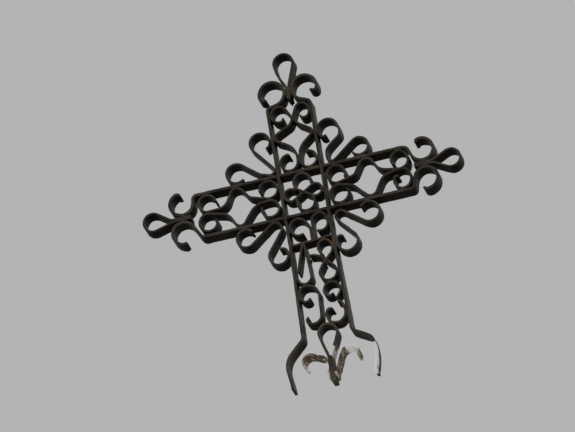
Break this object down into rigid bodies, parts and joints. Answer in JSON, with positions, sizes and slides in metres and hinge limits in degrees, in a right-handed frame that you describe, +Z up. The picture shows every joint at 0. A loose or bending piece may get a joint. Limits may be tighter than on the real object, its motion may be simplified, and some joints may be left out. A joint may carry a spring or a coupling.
{
  "type": "wrought iron scroll cross",
  "caption": "Openwork cross of black-painted flat iron bar, filled with bent scrolls, with drop-shaped end loops, splayed legs and a stem for setting in masonry.",
  "frame": {"origin": "centre of the cut end face of the middle stem, where the cross is cut off at its masonry base", "axes": "+Z up along the uprights, +X to the right as seen from the front, +Y from the front to the back through the depth of the bars"},
  "size_m": [0.4516, 0.025, 0.4919],
  "materials": {
    "black_paint": "matt black paint, weathered, with worn edges and rust at the joints"
  },
  "bodies": {
    "root": {"arm_bar_lower": "black_paint", "arm_bar_upper": "black_paint", "base_curl_left": "black_paint", "base_curl_right": "black_paint", "base_loop": "black_paint", "centre_scroll_tall": "black_paint", "centre_scroll_wide": "black_paint", "corner_lower_left": "black_paint", "corner_lower_right": "black_paint", "corner_upper_left": "black_paint", "corner_upper_right": "black_paint", "cross_rail": "black_paint", "drop_scroll": "black_paint", "eye_scroll": "black_paint", "foot_scroll": "black_paint", "hanging_scroll": "black_paint", "left_scroll_lower": "black_paint", "left_scroll_upper": "black_paint", "loop_left": "black_paint", "loop_right": "black_paint", "loop_top": "black_paint", "rail_hook_left": "black_paint", "rail_hook_right": "black_paint", "right_scroll_lower": "black_paint", "right_scroll_upper": "black_paint", "snail_scroll": "black_paint", "tail_scroll": "black_paint", "top_scroll_back": "black_paint", "top_scroll_front": "black_paint", "upright_left": "black_paint", "upright_right": "black_paint"}
  },
  "joints": []
}
